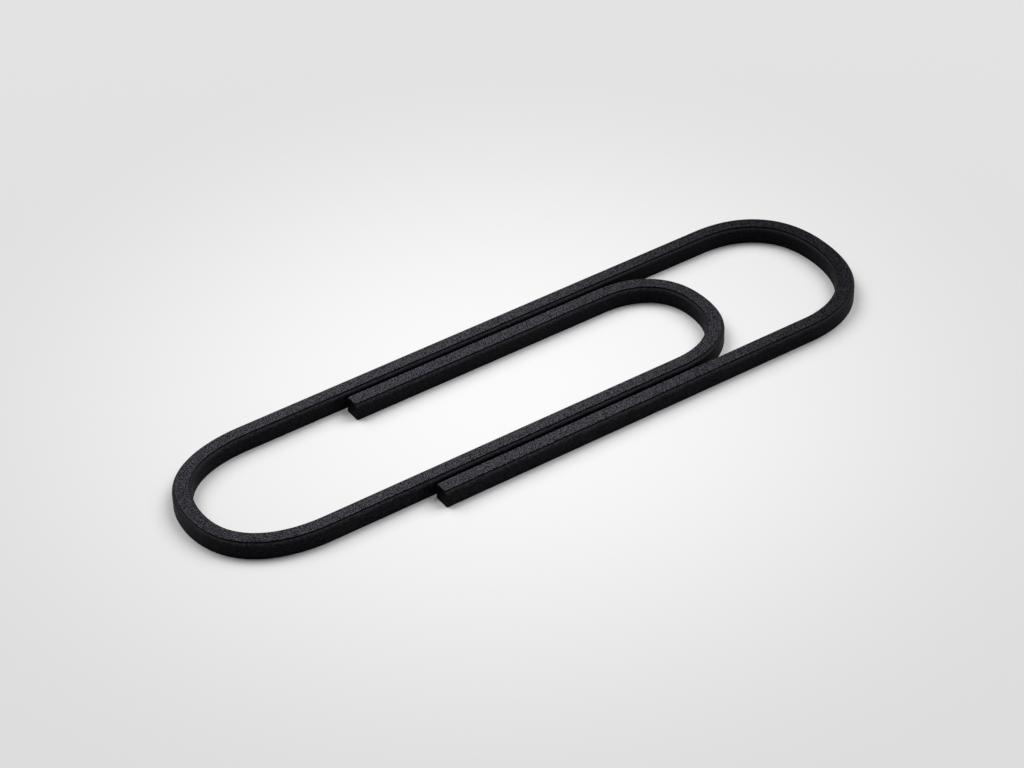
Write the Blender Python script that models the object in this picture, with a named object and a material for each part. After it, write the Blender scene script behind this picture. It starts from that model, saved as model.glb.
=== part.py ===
"""A large paper clip: one strip of black plastic in a double loop, divided into its legs and half-bends.

Metres, +Z up. The origin is the centre of the clip's box, on the surface that it lies on.
+X runs along the legs towards the large outer bend, and +Y across them towards the back leg.
"""

import bpy
from mathutils import Vector

# The strip's section, with its two upper edges chamfered
STRIP_WIDTH = 0.0025
STRIP_HEIGHT = 0.0025
EDGE_CHAMFER = 0.00045

# The loops, measured on the strip's centre line
OUTER_HALF_WIDTH = 0.012
LEG_GAP = 0.0005
BACK_LEG_LENGTH = 0.0725
INNER_FRONT_LEG_LENGTH = 0.05375
FREE_END_SETBACK = 0.01465

# How far each bend reaches beyond its legs
OUTER_BEND_REACH = 0.012
HEEL_BEND_REACH = 0.013
INNER_BEND_REACH = 0.010

# The bends' handles, as shares of the reach and of the half width
# A circle has 0.55 for both, so a larger tip handle makes a flatter tip
LEG_HANDLE = 0.55
TIP_HANDLE = 0.70

# The slit between two stretches of the strip, and the steps of a half-bend
STRETCH_GAP = 0.0003
BEND_STEPS = 16

# The plastic
BLACK = (0.021, 0.021, 0.023, 1.0)
ROUGHNESS = 0.55

# Each loop lies inside the one before it, one strip and one gap further in
LEG_PITCH = STRIP_WIDTH + LEG_GAP
HEEL_HALF_WIDTH = OUTER_HALF_WIDTH - LEG_PITCH / 2
INNER_HALF_WIDTH = HEEL_HALF_WIDTH - LEG_PITCH / 2

# Where the legs lie across the clip
OUTER_FREE_Y = -OUTER_HALF_WIDTH
BACK_Y = OUTER_HALF_WIDTH
INNER_FRONT_Y = BACK_Y - 2 * HEEL_HALF_WIDTH
INNER_FREE_Y = INNER_FRONT_Y + 2 * INNER_HALF_WIDTH

# Where the bends start and the free ends lie along the clip
OVERALL_LENGTH = HEEL_BEND_REACH + BACK_LEG_LENGTH + OUTER_BEND_REACH + STRIP_WIDTH
HEEL_X = STRIP_WIDTH / 2 + HEEL_BEND_REACH - OVERALL_LENGTH / 2
OUTER_X = HEEL_X + BACK_LEG_LENGTH
INNER_X = HEEL_X + INNER_FRONT_LEG_LENGTH
FREE_END_X = HEEL_X + FREE_END_SETBACK

OUTER_CENTRE = Vector((OUTER_X, (OUTER_FREE_Y + BACK_Y) / 2, 0))
HEEL_CENTRE = Vector((HEEL_X, (BACK_Y + INNER_FRONT_Y) / 2, 0))
INNER_CENTRE = Vector((INNER_X, (INNER_FRONT_Y + INNER_FREE_Y) / 2, 0))

# Which way a bend reaches along X, and which way its half lies across it
RIGHT, LEFT = 1, -1
BACK, FRONT = 1, -1


def clear_scene():
    for obj in list(bpy.data.objects):
        bpy.data.objects.remove(obj, do_unlink=True)


def new_collection(name):
    collection = bpy.data.collections.new(name)
    bpy.context.scene.collection.children.link(collection)
    return collection


def black_plastic(name):
    material = bpy.data.materials.new(name)
    material.use_nodes = True
    shader = material.node_tree.nodes["Principled BSDF"]
    shader.inputs["Base Color"].default_value = BLACK
    shader.inputs["Roughness"].default_value = ROUGHNESS
    shader.inputs["Metallic"].default_value = 0.0
    return material


def strip_profile(collection):
    """The strip's section as a guide curve, its foot at the origin and its height along the curve's Y."""
    half = STRIP_WIDTH / 2
    shoulder = STRIP_HEIGHT - EDGE_CHAMFER
    corners = [
        (half, 0),
        (-half, 0),
        (-half, shoulder),
        (EDGE_CHAMFER - half, STRIP_HEIGHT),
        (half - EDGE_CHAMFER, STRIP_HEIGHT),
        (half, shoulder),
    ]
    curve = bpy.data.curves.new("strip_profile", "CURVE")
    spline = curve.splines.new("POLY")
    spline.points.add(len(corners) - 1)
    for point, (x, y) in zip(spline.points, corners):
        point.co = (x, y, 0, 1)
    spline.use_cyclic_u = True
    profile = bpy.data.objects.new("strip_profile", curve)
    profile.hide_render = True
    profile.display_type = "WIRE"
    collection.objects.link(profile)
    return profile


def world_place(obj):
    """Where an object stands, following its parents, none of which is turned."""
    place = obj.location.copy()
    while obj.parent:
        obj = obj.parent
        place += obj.location
    return place


def put(obj, place, parent):
    obj.parent = parent
    obj.location = place - world_place(parent) if parent else place


def hinge(name, collection, centre, tip_offset, parent=None):
    """An empty on a bend's tip, halfway up the strip, where the strip runs along Y and so twists about it."""
    empty = bpy.data.objects.new(name, None)
    empty.empty_display_size = STRIP_HEIGHT
    collection.objects.link(empty)
    put(empty, centre + Vector((tip_offset, 0, STRIP_HEIGHT / 2)), parent)
    return empty


def stretch(name, collection, profile, points):
    """A swept stretch of the strip. Each point is its place and its two Bezier handles."""
    curve = bpy.data.curves.new(name, "CURVE")
    curve.dimensions = "3D"
    curve.twist_mode = "Z_UP"
    curve.resolution_u = BEND_STEPS
    curve.bevel_mode = "OBJECT"
    curve.bevel_object = profile
    curve.use_fill_caps = True
    spline = curve.splines.new("BEZIER")
    spline.bezier_points.add(len(points) - 1)
    for point, (place, before, after) in zip(spline.bezier_points, points):
        point.co = place
        point.handle_left_type = "FREE"
        point.handle_right_type = "FREE"
        point.handle_left = before
        point.handle_right = after
    curve.materials.append(black_plastic(name))
    obj = bpy.data.objects.new(name, curve)
    collection.objects.link(obj)
    return obj


def leg(name, collection, profile, start, end_x, parent=None):
    """A straight stretch from its start, where the object's origin is, along X to end_x."""
    run = Vector((end_x - start.x, 0, 0))
    third = run / 3
    points = [(Vector(), -third, third), (run, run - third, run + third)]
    obj = stretch(name, collection, profile, points)
    obj.data.resolution_u = 1
    put(obj, start, parent)
    return obj


def half_bend(name, collection, profile, centre, reach, half_width, end, parent=None):
    """Half of a bend, from its leg to its tip, short of both by half a slit. Its origin is between the legs."""
    slit = STRETCH_GAP / 2
    along = RIGHT if reach > 0 else LEFT
    leg_place = Vector((along * slit, end * half_width, 0))
    leg_handle = Vector((LEG_HANDLE * reach, end * half_width, 0))
    tip_place = Vector((reach, end * slit, 0))
    tip_handle = Vector((reach, end * TIP_HANDLE * half_width, 0))
    points = [
        (leg_place, 2 * leg_place - leg_handle, leg_handle),
        (tip_place, tip_handle, 2 * tip_place - tip_handle),
    ]
    obj = stretch(name, collection, profile, points)
    put(obj, centre, parent)
    return obj


def outer_loop(clip, profile, outer_hinge):
    """The back leg with its halves of the outer and heel bends, and the free leg on the outer bend."""
    slit = STRETCH_GAP / 2
    leg("outer_back_leg", clip, profile, Vector((HEEL_X + slit, BACK_Y, 0)), OUTER_X - slit)
    reach = RIGHT * OUTER_BEND_REACH
    half_bend("outer_bend_back", clip, profile, OUTER_CENTRE, reach, OUTER_HALF_WIDTH, BACK)
    half_bend("heel_bend_back", clip, profile, HEEL_CENTRE, LEFT * HEEL_BEND_REACH, HEEL_HALF_WIDTH, BACK)
    half_bend("outer_bend_front", clip, profile, OUTER_CENTRE, reach, OUTER_HALF_WIDTH, FRONT, outer_hinge)
    start = Vector((FREE_END_X, OUTER_FREE_Y, 0))
    leg("outer_free_leg", clip, profile, start, OUTER_X - slit, outer_hinge)


def inner_loop(clip, profile, heel_hinge, inner_hinge):
    """The tongue: its front leg with its halves of two bends, and the free leg on the inner bend."""
    slit = STRETCH_GAP / 2
    heel_reach = LEFT * HEEL_BEND_REACH
    half_bend("heel_bend_front", clip, profile, HEEL_CENTRE, heel_reach, HEEL_HALF_WIDTH, FRONT, heel_hinge)
    start = Vector((HEEL_X + slit, INNER_FRONT_Y, 0))
    leg("inner_front_leg", clip, profile, start, INNER_X - slit, heel_hinge)
    reach = RIGHT * INNER_BEND_REACH
    half_bend("inner_bend_front", clip, profile, INNER_CENTRE, reach, INNER_HALF_WIDTH, FRONT, heel_hinge)
    half_bend("inner_bend_back", clip, profile, INNER_CENTRE, reach, INNER_HALF_WIDTH, BACK, inner_hinge)
    start = Vector((FREE_END_X, INNER_FREE_Y, 0))
    leg("inner_free_leg", clip, profile, start, INNER_X - slit, inner_hinge)


def main():
    clear_scene()
    clip = new_collection("paper_clip")
    guides = new_collection("guides")
    profile = strip_profile(guides)
    outer_hinge = hinge("outer_bend_hinge", clip, OUTER_CENTRE, RIGHT * OUTER_BEND_REACH)
    heel_hinge = hinge("heel_bend_hinge", clip, HEEL_CENTRE, LEFT * HEEL_BEND_REACH)
    inner_hinge = hinge("inner_bend_hinge", clip, INNER_CENTRE, RIGHT * INNER_BEND_REACH, heel_hinge)
    outer_loop(clip, profile, outer_hinge)
    inner_loop(clip, profile, heel_hinge, inner_hinge)


main()
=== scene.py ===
"""The looks of the paper clip: its printed strip, its matt black finish, a pale floor, light and a camera.

Metres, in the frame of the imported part: +X along the legs, +Y across them, +Z up, with the floor at z = 0.
"""

import math

import bmesh
import bpy
from mathutils import Matrix, Vector


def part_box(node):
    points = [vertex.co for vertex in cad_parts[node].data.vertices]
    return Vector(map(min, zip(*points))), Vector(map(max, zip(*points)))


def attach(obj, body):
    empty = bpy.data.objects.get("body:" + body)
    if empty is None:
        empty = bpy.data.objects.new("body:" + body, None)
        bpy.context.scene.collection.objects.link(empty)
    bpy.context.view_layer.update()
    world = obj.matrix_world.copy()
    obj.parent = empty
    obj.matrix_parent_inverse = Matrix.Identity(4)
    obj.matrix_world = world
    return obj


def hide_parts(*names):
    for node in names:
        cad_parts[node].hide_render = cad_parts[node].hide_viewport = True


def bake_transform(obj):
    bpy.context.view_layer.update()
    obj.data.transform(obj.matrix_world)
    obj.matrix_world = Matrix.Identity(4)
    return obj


MM = 0.001

# How far below a node's highest point its upper face is still looked for
CREST_DEPTH = 0.01 * MM

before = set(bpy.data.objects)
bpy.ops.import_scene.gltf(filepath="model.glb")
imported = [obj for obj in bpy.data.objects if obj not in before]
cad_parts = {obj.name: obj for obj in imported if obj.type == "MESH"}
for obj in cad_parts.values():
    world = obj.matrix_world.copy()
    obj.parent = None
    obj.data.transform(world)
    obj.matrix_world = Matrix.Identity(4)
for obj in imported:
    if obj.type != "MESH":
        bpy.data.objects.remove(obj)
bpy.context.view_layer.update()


def leg_y(node):
    """Where across the clip the middle of a leg lies."""
    low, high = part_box(node)
    return (low.y + high.y) / 2


def slit_between(left, right):
    """Where along X the thin slit between two neighbouring nodes lies."""
    return (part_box(left)[1].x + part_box(right)[0].x) / 2


def chamfer_of(node):
    """How far the upper face stops short of the walls, read from the node's highest points."""
    low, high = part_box(node)
    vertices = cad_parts[node].data.vertices
    crest = [vertex.co.y for vertex in vertices if vertex.co.z > high.z - CREST_DEPTH]
    return (high.y - low.y - (max(crest) - min(crest))) / 2


def grey(value, blue=1.0):
    """A grey whose blue is raised by a factor."""
    return (value, value, value * blue, 1.0)


# The strip and its loops, as the frame has them
BACK_LOW, BACK_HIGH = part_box("outer_back_leg")
STRIP_WIDTH = BACK_HIGH.y - BACK_LOW.y
STRIP_HEIGHT = BACK_HIGH.z - BACK_LOW.z
HALF = STRIP_WIDTH / 2
CHAMFER = chamfer_of("outer_back_leg")
BACK_Y = leg_y("outer_back_leg")
OUTER_FREE_Y = leg_y("outer_free_leg")
INNER_FRONT_Y = leg_y("inner_front_leg")
INNER_FREE_Y = leg_y("inner_free_leg")
OUTER_X = slit_between("outer_back_leg", "outer_bend_back")
HEEL_X = slit_between("heel_bend_back", "outer_back_leg")
INNER_X = slit_between("inner_front_leg", "inner_bend_front")
OUTER_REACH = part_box("outer_bend_back")[1].x - HALF - OUTER_X
HEEL_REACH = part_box("heel_bend_back")[0].x + HALF - HEEL_X
INNER_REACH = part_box("inner_bend_front")[1].x - HALF - INNER_X
OUTER_END_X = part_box("outer_free_leg")[0].x
INNER_END_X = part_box("inner_free_leg")[0].x

# The bends' handles, as shares of their reach and of their half width, as in the part's source
LEG_HANDLE = 0.55
TIP_HANDLE = 0.70

# What printing leaves on the strip: lines along its faces, a lip on the first layer, layers up its walls
LINE_WIDTH = 0.43 * MM
LINE_GROOVE = 0.06 * MM
LINE_DEPTH = 0.018 * MM
UNDER_GROOVES_EACH_SIDE = 2
RIM_ROUNDING = 0.04 * MM
LIP_HEIGHT = 0.2 * MM
LIP_SPREAD = 0.05 * MM
LAYER_HEIGHT = 0.2 * MM
LAYER_DIP = 0.012 * MM
FOOT_ROUNDING = 0.08 * MM
END_CORNER_RADIUS = 0.2 * MM
SHOULDER_DROP = 0.08 * MM
SHOULDER_TILT = math.radians(32)

# How finely the strip is cut into sections
HALF_BEND_STEPS = 36
LEG_STEP = 2.0 * MM
CORNER_STEPS = 6
SHOULDER_STEPS = 5

# Edges that turn by more than this are shaded sharp
SHARP_ANGLE = math.radians(32)

# Faces of the strip, in the order of its materials; the last is painted shade on the cut ends and under the
# lip
UPPER, LEDGE, WALL, UNDER, PAINTED_SHADE = range(5)

# The span in which noise mostly lies, and the whole span of a share
NOISE_SPAN = (0.3, 0.7)
FULL_SPAN = (0.0, 1.0)

# The upper face's sandy grain: shades from dark to light over a span of noise, unshaded and in painted
# shade, and bump strength and height
# Fineness is how strong the finer detail of a noise is
GRAIN_SIZE = 0.13 * MM
GRAIN_DETAIL = 1.0
GRAIN_FINENESS = 0.6
UNSHADED_GRAIN_SPAN = (0.43, 0.66)
UNSHADED_GRAIN_SHADES = (grey(0.0012, 1.4), grey(0.112, 1.2))
SHADED_GRAIN_SPAN = (0.52, 0.66)
SHADED_GRAIN_SHADES = (grey(0.0004, 1.6), grey(0.042, 1.3))
GRAIN_ROUGHNESS = (0.75, 0.55)
GRAIN_GLOSS = 0.03
GRAIN_BUMP = (0.7, 0.08 * MM)

# Painted shade across the clip: where none is painted, and how far from there it is painted fully, darker
# towards the bends
UNSHADED_PLACE = (-0.013, 0.0, 0.0)
UNSHADED_RADIUS = 0.022
PAINTED_SHADE_RADIUS = 0.060

# The streaks of layered plastic, drawn out along the layers, which lie flat
STREAK_SIZE = 0.13 * MM
STREAK_SCALE = (0.3, 0.3, 1.0)
STREAK_DETAIL = 2.0
STREAK_FINENESS = 0.6
STREAK_SPAN = (0.40, 0.62)
STREAK_ROUGHNESS = (0.42, 0.6)
STREAK_BUMP = (0.4, 0.04 * MM)

# The shades of layered plastic: its dark streaks, its light ones, and its light ones painted darker as shade
# towards the bends
# The ledge's shades are lighter than the wall's: painted light where the shoulder faces up
LEDGE_SHADES = (grey(0.002, 1.3), grey(0.024, 1.3), grey(0.010, 1.3))
LEDGE_GLOSS = 0.06
WALL_SHADES = (grey(0.0006, 1.35), grey(0.0130, 1.35), grey(0.0090, 1.35))
WALL_GLOSS = 0.03
# The darkest, painted shade on the cut ends and on the lip's side down to the crease
PAINTED_SHADE_TONES = (grey(0.0008, 1.3), grey(0.003, 1.3), grey(0.002, 1.3))
PAINTED_SHADE_GLOSS = 0.02

# The underside's mottle
MOTTLE_SIZE = 0.8 * MM
MOTTLE_DETAIL = 3.0
MOTTLE_FINENESS = 0.5
MOTTLE_SHADES = (grey(0.012), grey(0.024))
MOTTLE_ROUGHNESS = (0.42, 0.58)
MOTTLE_BUMP = (0.15, 0.03 * MM)

# The colour sockets of a Mix node, which share their names with its other sockets
MIX_FIRST, MIX_SECOND = 6, 7
MIX_RESULT = 2

# The floor, with a painted pool of light: brightest near the clip's middle
FLOOR_SIZE = 6.0
FLOOR_PALE = grey(0.97)
FLOOR_EDGE = grey(0.74, 1.01)
FLOOR_BRIGHT_PLACE = (-0.004, 0.0005, 0.0)
FLOOR_FADE_RADIUS = 0.083
FLOOR_ROUGHNESS = 0.9
FLOOR_GLOSS = 0.1

# The light: two softboxes behind the clip, and a room that lights it dimly but looks pale
SOFTBOX_SIZE = 1.5
SOFTBOX_DISTANCE = 1.95
SOFTBOX_ELEVATION = math.radians(55)
SOFTBOX_ASIDE = math.radians(54)
SOFTBOX_WATTS = 25.7
ROOM_LIGHT = 0.06
ROOM_PALE = 0.8

# The camera: where it looks from, and where the clip's origin falls in its view
IMAGE_WIDTH = 1024
FOCAL_PIXELS = 3200
SENSOR_WIDTH = 36.0
CAMERA_ELEVATION = math.radians(38.80)
CAMERA_ROLL = math.radians(-1.43)
CAMERA_TURN = math.radians(33.30)
ORIGIN_RIGHT = 1.94 * MM
ORIGIN_DOWN = 0.98 * MM
CAMERA_DISTANCE = 415.8 * MM
NEAREST_SEEN = 10 * MM


def line_groove(inset, height, sink):
    """A shallow dip between two printed lines, centred at an inset from the wall."""
    return [
        (inset + LINE_GROOVE, height),
        (inset, height + sink),
        (inset - LINE_GROOVE, height),
    ]


def shoulder_levels(inset, height, foot):
    """The rounded shoulder from the crease under the lip out to the wall, which it meets upright."""
    levels = []
    for step in range(SHOULDER_STEPS):
        tilt = SHOULDER_TILT + (math.pi / 2 - SHOULDER_TILT) * step / SHOULDER_STEPS
        across = (math.sin(tilt) - math.sin(SHOULDER_TILT)) / (1 - math.sin(SHOULDER_TILT))
        up = math.cos(tilt) / math.cos(SHOULDER_TILT)
        levels.append((inset * (1 - across), foot + (height - foot) * up, LEDGE))
    return levels


def upper_levels():
    """The upper face's edge: the groove beside its outer line, the rim, and the lip down to the crease."""
    top = STRIP_HEIGHT
    lip = CHAMFER - LIP_SPREAD
    levels = []
    for inset, height in line_groove(CHAMFER + LINE_WIDTH, top, -LINE_DEPTH):
        levels.append((inset, height, UPPER))
    levels.append((lip + RIM_ROUNDING, top, UPPER))
    # The rim's rounding and the lip's side down to the crease are painted shade
    levels.append((lip + RIM_ROUNDING / 4, top - RIM_ROUNDING / 4, PAINTED_SHADE))
    levels.append((lip, top - RIM_ROUNDING, PAINTED_SHADE))
    return levels


def wall_levels(shoulder):
    """The wall from the foot of the shoulder down: layers with a dip at each seam, and a rounded foot."""
    layers = round((shoulder - FOOT_ROUNDING) / LAYER_HEIGHT)
    step = (shoulder - FOOT_ROUNDING) / layers
    levels = []
    for layer in range(layers):
        seam = shoulder - layer * step
        levels.append((LAYER_DIP, seam, WALL))
        levels.append((0.0, seam - step / 3, WALL))
        levels.append((0.0, seam - 2 * step / 3, WALL))
    levels.append((LAYER_DIP, FOOT_ROUNDING, WALL))
    levels.append((FOOT_ROUNDING / 3, FOOT_ROUNDING / 4, WALL))
    return levels


def under_levels():
    """The underside from the foot inwards, with grooves between its printed lines."""
    levels = [(FOOT_ROUNDING, 0.0, UNDER)]
    for line in range(1, UNDER_GROOVES_EACH_SIDE + 1):
        for inset, height in reversed(line_groove(line * LINE_WIDTH, 0.0, LINE_DEPTH)):
            levels.append((inset, height, UNDER))
    return levels


def strip_levels():
    """The strip's half section, from its upper face over the edge and down the wall to its underside.

    Each level is how far it lies in from the wall, its height, and the kind of face that follows it.
    """
    shoulder = STRIP_HEIGHT - CHAMFER - SHOULDER_DROP
    crease = STRIP_HEIGHT - LIP_HEIGHT
    ledge = shoulder_levels(CHAMFER - LIP_SPREAD, crease, shoulder)
    return upper_levels() + ledge + wall_levels(shoulder) + under_levels()


LEVELS = strip_levels()


def section(centre, normal, drawn_in=0.0):
    """One ring across the strip: points from the top down on the normal's side, then on the other side."""
    ring = []
    for side in (1, -1):
        for inset, height, _ in LEVELS:
            place = centre + side * (HALF - inset - drawn_in) * normal
            ring.append(Vector((place.x, place.y, height)))
    return ring


def end_rings(end_x, y):
    """The rings of a square-cut free end, from its face back round its upright corners to the walls."""
    rings = []
    for step in range(CORNER_STEPS + 1):
        angle = math.pi / 2 * step / CORNER_STEPS
        along = END_CORNER_RADIUS * (1 - math.cos(angle))
        drawn_in = END_CORNER_RADIUS * (1 - math.sin(angle))
        rings.append(section(Vector((end_x + along, y)), Vector((0, 1)), drawn_in))
    return rings


def leg_rings(start_x, end_x, y):
    """The rings of a straight leg."""
    steps = round((end_x - start_x) / LEG_STEP)
    rings = []
    for step in range(steps + 1):
        x = start_x + (end_x - start_x) * step / steps
        rings.append(section(Vector((x, y)), Vector((0, 1))))
    return rings


def free_leg_rings(end_x, far_x, y):
    """The rings of a leg with a free end on its left."""
    return end_rings(end_x, y) + leg_rings(end_x + LEG_STEP, far_x, y)


def on_curve(points, share):
    """A place on a Bezier curve and the direction of the curve there."""
    first, second, third, last = points
    rest = 1 - share
    place = (
        rest ** 3 * first
        + 3 * rest ** 2 * share * second
        + 3 * rest * share ** 2 * third
        + share ** 3 * last
    )
    along = rest ** 2 * (second - first) + 2 * rest * share * (third - second) + share ** 2 * (last - third)
    return place, along.normalized()


def bend_halves(x, low_y, high_y, reach):
    """The two Bezier halves of a bend, from the lower leg to the tip and on to the upper leg."""
    middle_y = (low_y + high_y) / 2
    half_width = (high_y - low_y) / 2
    tip = Vector((x + reach, middle_y))
    rise = Vector((0, TIP_HANDLE * half_width))
    run = Vector((LEG_HANDLE * reach, 0))
    low = Vector((x, low_y))
    high = Vector((x, high_y))
    return (low, low + run, tip - rise, tip), (tip, tip + rise, high + run, high)


def bend_rings(x, low_y, high_y, reach):
    """The rings of a bend from the lower leg to the upper one, to the right where its reach is positive."""
    side = math.copysign(1, reach)
    halves = bend_halves(x, low_y, high_y, reach)
    shares = [(half, step / HALF_BEND_STEPS) for half in halves for step in range(HALF_BEND_STEPS)]
    shares.append((halves[1], 1.0))
    rings = []
    for half, share in shares:
        place, along = on_curve(half, share)
        rings.append(section(place, side * Vector((along.y, -along.x))))
    return rings


def skin(mesh, rings):
    """Faces between each ring and the next, round the section, with the kind of face of each level."""
    count = len(LEVELS)
    kinds = [kind for _, _, kind in LEVELS]
    around = []
    for level in range(count - 1):
        around.append((level, level + 1, kinds[level]))
        around.append((count + level + 1, count + level, kinds[level]))
    around.append((count, 0, UPPER))
    around.append((count - 1, 2 * count - 1, UNDER))
    for ring, following in zip(rings, rings[1:]):
        for first, second, kind in around:
            face = mesh.faces.new((ring[first], following[first], following[second], ring[second]))
            face.material_index = kind


def cap(mesh, ring):
    """A flat face across the strip, in painted shade."""
    count = len(LEVELS)
    face = mesh.faces.new(ring[:count] + ring[count:][::-1])
    face.material_index = PAINTED_SHADE


def strip_piece(name, rings, finishes):
    """A closed stretch of strip, with a flat face at each end."""
    mesh = bmesh.new()
    rows = [[mesh.verts.new(place) for place in ring] for ring in rings]
    skin(mesh, rows)
    cap(mesh, rows[0])
    cap(mesh, rows[-1])
    bmesh.ops.recalc_face_normals(mesh, faces=mesh.faces)
    data = bpy.data.meshes.new(name)
    mesh.to_mesh(data)
    mesh.free()
    data.shade_smooth()
    data.set_sharp_from_angle(angle=SHARP_ANGLE)
    for material in finishes:
        data.materials.append(material)
    piece = bpy.data.objects.new(name, data)
    bpy.context.scene.collection.objects.link(piece)
    return piece


def new_material(name):
    """A material with its node tree, its Principled shader, and a place in the object's own metres."""
    material = bpy.data.materials.new(name)
    material.use_nodes = True
    tree = material.node_tree
    place = tree.nodes.new("ShaderNodeTexCoord").outputs["Object"]
    return material, tree, tree.nodes["Principled BSDF"], place


def noise_of(tree, place, size, detail, fineness):
    """Noise whose blobs are about one size across."""
    texture = tree.nodes.new("ShaderNodeTexNoise")
    texture.inputs["Scale"].default_value = 1 / size
    texture.inputs["Detail"].default_value = detail
    texture.inputs["Roughness"].default_value = fineness
    tree.links.new(place, texture.inputs["Vector"])
    return texture.outputs["Fac"]


def ramp(tree, factor, span, shades):
    """Turns a factor into a colour, from the first shade to the second over a span."""
    node = tree.nodes.new("ShaderNodeValToRGB")
    for element, position, shade in zip(node.color_ramp.elements, span, shades):
        element.position = position
        element.color = shade
    tree.links.new(factor, node.inputs["Fac"])
    return node.outputs["Color"]


def spread(tree, noise, low, high):
    """Turns noise into a number, from low to high over the span of the noise."""
    node = tree.nodes.new("ShaderNodeMapRange")
    first, last = NOISE_SPAN
    node.inputs["From Min"].default_value = first
    node.inputs["From Max"].default_value = last
    node.inputs["To Min"].default_value = low
    node.inputs["To Max"].default_value = high
    tree.links.new(noise, node.inputs["Value"])
    return node.outputs["Result"]


def bump(tree, noise, strength, height):
    """A normal that follows the noise as small hills of a height."""
    node = tree.nodes.new("ShaderNodeBump")
    node.inputs["Strength"].default_value = strength
    node.inputs["Distance"].default_value = height
    tree.links.new(noise, node.inputs["Height"])
    return node.outputs["Normal"]


def distance_share(tree, place, centre, near, far, interpolation="LINEAR"):
    """How far a place lies from a centre: 0 up to the near radius, and 1 from the far radius on."""
    away = tree.nodes.new("ShaderNodeVectorMath")
    away.operation = "DISTANCE"
    away.inputs[1].default_value = centre
    tree.links.new(place, away.inputs[0])
    share = tree.nodes.new("ShaderNodeMapRange")
    share.interpolation_type = interpolation
    share.inputs["From Min"].default_value = near
    share.inputs["From Max"].default_value = far
    tree.links.new(away.outputs["Value"], share.inputs["Value"])
    return share.outputs["Result"]


def painted_shade_between(tree, place, unshaded, painted_shade):
    """The unshaded colour in the middle of the clip, turning into painted shade towards its bends."""
    node = tree.nodes.new("ShaderNodeMix")
    node.data_type = "RGBA"
    # Painted shade: none near the middle of the clip, full towards its bends
    share = distance_share(tree, place, UNSHADED_PLACE, UNSHADED_RADIUS, PAINTED_SHADE_RADIUS)
    tree.links.new(share, node.inputs["Factor"])
    tree.links.new(unshaded, node.inputs[MIX_FIRST])
    tree.links.new(painted_shade, node.inputs[MIX_SECOND])
    return node.outputs[MIX_RESULT]


def link_finish(tree, shader, colour, noise, roughness, relief):
    """Gives the shader its colour, and a roughness and a bump that follow the noise."""
    tree.links.new(colour, shader.inputs["Base Color"])
    tree.links.new(spread(tree, noise, *roughness), shader.inputs["Roughness"])
    tree.links.new(bump(tree, noise, *relief), shader.inputs["Normal"])


def grained_face():
    """The upper face: matt black with the sandy grain of a textured print bed, painted darker as shade
    towards the bends.
    """
    material, tree, shader, place = new_material("grained_black_plastic")
    grain = noise_of(tree, place, GRAIN_SIZE, GRAIN_DETAIL, GRAIN_FINENESS)
    unshaded = ramp(tree, grain, UNSHADED_GRAIN_SPAN, UNSHADED_GRAIN_SHADES)
    painted_shade = ramp(tree, grain, SHADED_GRAIN_SPAN, SHADED_GRAIN_SHADES)
    colour = painted_shade_between(tree, place, unshaded, painted_shade)
    link_finish(tree, shader, colour, grain, GRAIN_ROUGHNESS, GRAIN_BUMP)
    shader.inputs["Specular IOR Level"].default_value = GRAIN_GLOSS
    return material


def layered_plastic(name, shades, gloss):
    """Plastic in layers: dark, with streaks along them, whose light ones are painted darker as shade towards
    the bends.
    """
    material, tree, shader, place = new_material(name)
    stretched = tree.nodes.new("ShaderNodeMapping")
    stretched.inputs["Scale"].default_value = STREAK_SCALE
    tree.links.new(place, stretched.inputs["Vector"])
    streaks = noise_of(tree, stretched.outputs["Vector"], STREAK_SIZE, STREAK_DETAIL, STREAK_FINENESS)
    dark, light, light_in_painted_shade = shades
    unshaded = ramp(tree, streaks, STREAK_SPAN, (dark, light))
    painted_shade = ramp(tree, streaks, STREAK_SPAN, (dark, light_in_painted_shade))
    colour = painted_shade_between(tree, place, unshaded, painted_shade)
    link_finish(tree, shader, colour, streaks, STREAK_ROUGHNESS, STREAK_BUMP)
    shader.inputs["Specular IOR Level"].default_value = gloss
    return material


def printed_ledge():
    """The rounded shoulder between the crease and the wall, lighter than the wall as painted light where it
    faces up.
    """
    return layered_plastic("ledge_black_plastic", LEDGE_SHADES, LEDGE_GLOSS)


def printed_wall():
    """The strip's walls."""
    return layered_plastic("wall_black_plastic", WALL_SHADES, WALL_GLOSS)


def painted_shade_plastic():
    """The cut ends, and the lip's side down to the crease, darkest as painted shade."""
    return layered_plastic("painted_shade_black_plastic", PAINTED_SHADE_TONES, PAINTED_SHADE_GLOSS)


def printed_underside():
    """The underside: the last printed lines, smoother than the upper face."""
    material, tree, shader, place = new_material("under_black_plastic")
    mottle = noise_of(tree, place, MOTTLE_SIZE, MOTTLE_DETAIL, MOTTLE_FINENESS)
    colour = ramp(tree, mottle, NOISE_SPAN, MOTTLE_SHADES)
    link_finish(tree, shader, colour, mottle, MOTTLE_ROUGHNESS, MOTTLE_BUMP)
    return material


def make_leg(name, rings, finishes, body, node):
    """A straight leg that stands for a node and moves with its body."""
    piece = strip_piece(name, rings, finishes)
    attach(piece, body)
    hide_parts(node)


def make_bend(name, ends, finishes, nodes):
    """A bend from the lower leg to the upper one, fixed in place where the frame has it, standing for its
    nodes.
    """
    x, low_y, high_y, reach = ends
    piece = strip_piece(name, bend_rings(x, low_y, high_y, reach), finishes)
    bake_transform(piece)
    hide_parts(*nodes)


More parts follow.
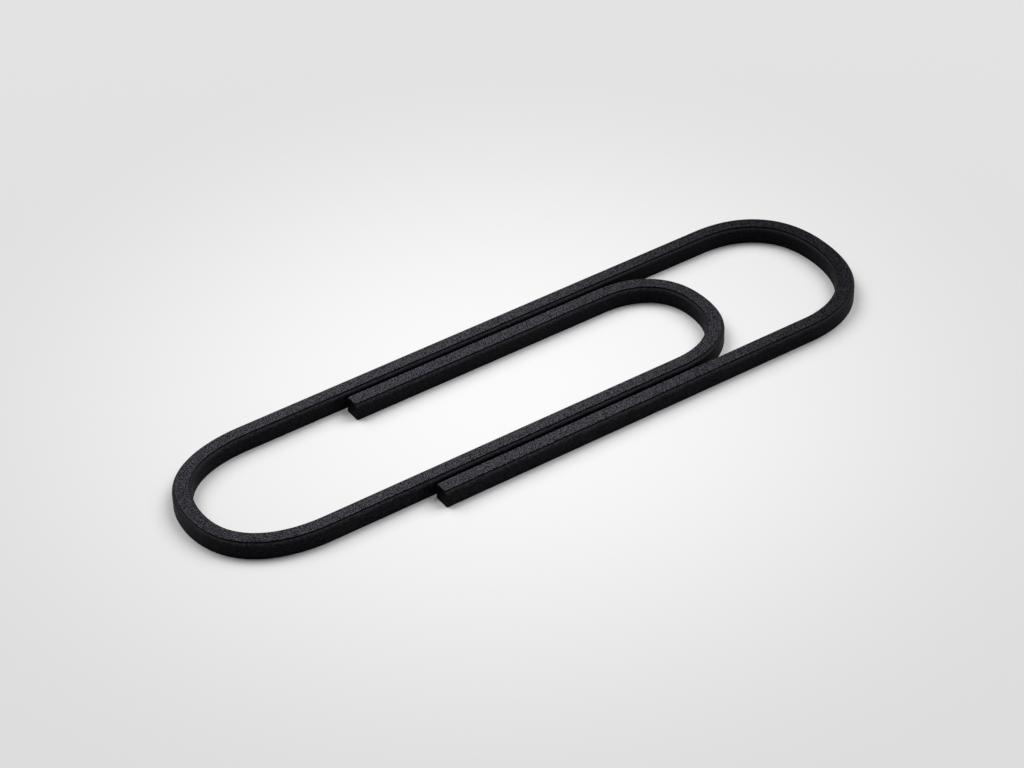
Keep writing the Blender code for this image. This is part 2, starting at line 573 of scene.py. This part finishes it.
def make_legs(finishes):
    rings = free_leg_rings(OUTER_END_X, OUTER_X, OUTER_FREE_Y)
    make_leg("outer_free_leg_strip", rings, finishes, "outer_arm", "outer_free_leg")
    rings = leg_rings(HEEL_X, OUTER_X, BACK_Y)
    make_leg("outer_back_leg_strip", rings, finishes, "outer_frame", "outer_back_leg")
    rings = leg_rings(HEEL_X, INNER_X, INNER_FRONT_Y)
    make_leg("inner_front_leg_strip", rings, finishes, "tongue", "inner_front_leg")
    rings = free_leg_rings(INNER_END_X, INNER_X, INNER_FREE_Y)
    make_leg("inner_free_leg_strip", rings, finishes, "inner_arm", "inner_free_leg")


def make_bends(finishes):
    ends = (OUTER_X, OUTER_FREE_Y, BACK_Y, OUTER_REACH)
    make_bend("outer_bend_strip", ends, finishes, ("outer_bend_front", "outer_bend_back"))
    ends = (HEEL_X, INNER_FRONT_Y, BACK_Y, HEEL_REACH)
    make_bend("heel_bend_strip", ends, finishes, ("heel_bend_front", "heel_bend_back"))
    ends = (INNER_X, INNER_FRONT_Y, INNER_FREE_Y, INNER_REACH)
    make_bend("inner_bend_strip", ends, finishes, ("inner_bend_front", "inner_bend_back"))


def floor_material():
    """Pale, with a painted pool of light: a little darker away from the clip."""
    material, tree, shader, place = new_material("pale_floor")
    fade = distance_share(tree, place, FLOOR_BRIGHT_PLACE, 0.0, FLOOR_FADE_RADIUS, "SMOOTHSTEP")
    colour = ramp(tree, fade, FULL_SPAN, (FLOOR_PALE, FLOOR_EDGE))
    tree.links.new(colour, shader.inputs["Base Color"])
    shader.inputs["Roughness"].default_value = FLOOR_ROUGHNESS
    shader.inputs["Specular IOR Level"].default_value = FLOOR_GLOSS
    return material


def make_floor():
    bpy.ops.mesh.primitive_plane_add(size=FLOOR_SIZE)
    floor = bpy.context.object
    floor.name = "pale_floor"
    floor.data.materials.append(floor_material())


def make_softbox(name, turn):
    """A soft square lamp behind the clip. A positive turn is to the right of the camera's line of sight."""
    lamp = bpy.data.lights.new(name, "AREA")
    lamp.shape = "SQUARE"
    lamp.size = SOFTBOX_SIZE
    lamp.energy = SOFTBOX_WATTS
    softbox = bpy.data.objects.new(name, lamp)
    heading = CAMERA_TURN + turn
    ground = SOFTBOX_DISTANCE * math.cos(SOFTBOX_ELEVATION)
    height = SOFTBOX_DISTANCE * math.sin(SOFTBOX_ELEVATION)
    softbox.location = (ground * math.sin(heading), ground * math.cos(heading), height)
    softbox.rotation_euler = (-softbox.location).to_track_quat("-Z", "Y").to_euler()
    bpy.context.scene.collection.objects.link(softbox)


def make_room():
    """Dim light from all sides, from walls that look pale to the camera and in reflections."""
    world = bpy.data.worlds.new("room")
    world.use_nodes = True
    tree = world.node_tree
    rays = tree.nodes.new("ShaderNodeLightPath").outputs
    seen = rays["Is Camera Ray"]
    for kind in ("Is Glossy Ray", "Is Transmission Ray"):
        either = tree.nodes.new("ShaderNodeMath")
        either.operation = "ADD"
        tree.links.new(seen, either.inputs[0])
        tree.links.new(rays[kind], either.inputs[1])
        seen = either.outputs["Value"]
    strength = tree.nodes.new("ShaderNodeMapRange")
    strength.inputs["To Min"].default_value = ROOM_LIGHT
    strength.inputs["To Max"].default_value = ROOM_PALE
    tree.links.new(seen, strength.inputs["Value"])
    background = tree.nodes["Background"]
    background.inputs["Color"].default_value = grey(1.0)
    tree.links.new(strength.outputs["Result"], background.inputs["Strength"])
    bpy.context.scene.world = world


def make_light():
    make_softbox("right_softbox", SOFTBOX_ASIDE)
    make_softbox("left_softbox", -SOFTBOX_ASIDE)
    make_room()


def make_camera():
    """A camera turned and tipped as the photograph's was. The view's rows point right, down and forward."""
    view = Matrix.Rotation(CAMERA_ROLL, 3, "Z")
    view = view @ Matrix.Rotation(math.pi / 2 + CAMERA_ELEVATION, 3, "X")
    view = view @ Matrix.Rotation(CAMERA_TURN, 3, "Z")
    right, down, forward = view
    data = bpy.data.cameras.new("photo_camera")
    data.sensor_width = SENSOR_WIDTH
    data.lens = FOCAL_PIXELS / IMAGE_WIDTH * SENSOR_WIDTH
    data.clip_start = NEAREST_SEEN
    camera = bpy.data.objects.new("photo_camera", data)
    axes = Matrix((right, -down, -forward)).transposed()
    place = view.transposed() @ Vector((ORIGIN_RIGHT, ORIGIN_DOWN, CAMERA_DISTANCE))
    camera.matrix_world = Matrix.Translation(-place) @ axes.to_4x4()
    bpy.context.scene.collection.objects.link(camera)
    bpy.context.scene.camera = camera


finishes = [grained_face(), printed_ledge(), printed_wall(), printed_underside(), painted_shade_plastic()]
make_legs(finishes)
make_bends(finishes)
make_floor()
make_light()
make_camera()
bpy.context.scene.view_settings.view_transform = "Standard"
